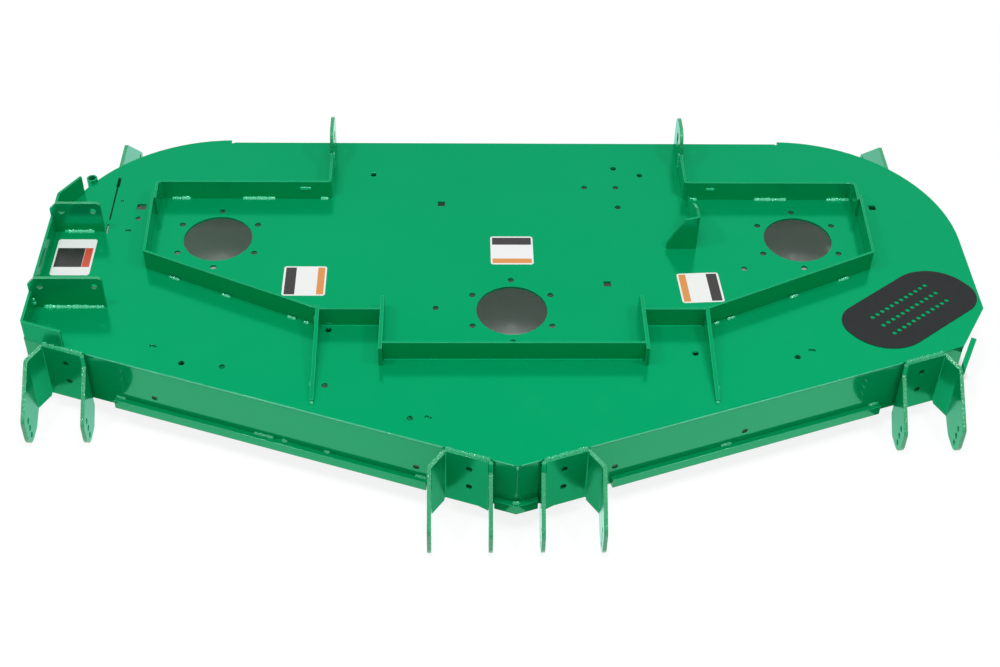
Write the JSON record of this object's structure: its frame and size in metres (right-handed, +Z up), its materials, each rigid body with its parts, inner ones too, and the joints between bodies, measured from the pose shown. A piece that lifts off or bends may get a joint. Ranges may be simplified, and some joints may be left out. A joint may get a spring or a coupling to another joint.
{
  "type": "mower deck shell",
  "caption": "Welded steel mower deck shell with a V front, round ends, spindle holes, stiffening rails, folded wheel arms and an open side discharge.",
  "frame": {"origin": "centre spindle axis on the top face of the top plate", "axes": "+X to the right end of the deck, away from the discharge side; +Y to the rear; +Z up"},
  "size_m": [1.59, 0.9798, 0.212],
  "materials": {
    "paint": "gloss powder coat",
    "pad": "matt, fine grain",
    "film": "printed film with bands of colour"
  },
  "bodies": {
    "root": {"centre_wall": "paint", "chute_ear_front": "paint", "chute_ear_rear": "paint", "corner_lug": "paint", "discharge_rim": "paint", "end_shell_left": "paint", "end_shell_right": "paint", "foot_pad": "pad", "front_baffle_centre": "paint", "front_baffle_left": "paint", "front_baffle_right": "paint", "front_rail_left": "paint", "front_rail_right": "paint", "front_skirt_left": "paint", "front_skirt_right": "paint", "hanger_ear_left": "paint", "hanger_ear_right": "paint", "hinge_tube": "paint", "rear_arm_left": "paint", "rear_arm_right": "paint", "rear_rail_left": "paint", "rear_rail_right": "paint", "rib_left": "paint", "rib_right": "paint", "side_wall_left": "paint", "side_wall_right": "paint", "skirt_bar_left": "paint", "skirt_bar_nose": "paint", "skirt_bar_right": "paint", "spring_anchor": "paint", "tie_wall_left": "paint", "tie_wall_right": "paint", "top_plate": "paint", "wheel_arm_left_centre": "paint", "wheel_arm_left_outer": "paint", "wheel_arm_right_centre": "paint", "wheel_arm_right_outer": "paint"}
  },
  "joints": []
}
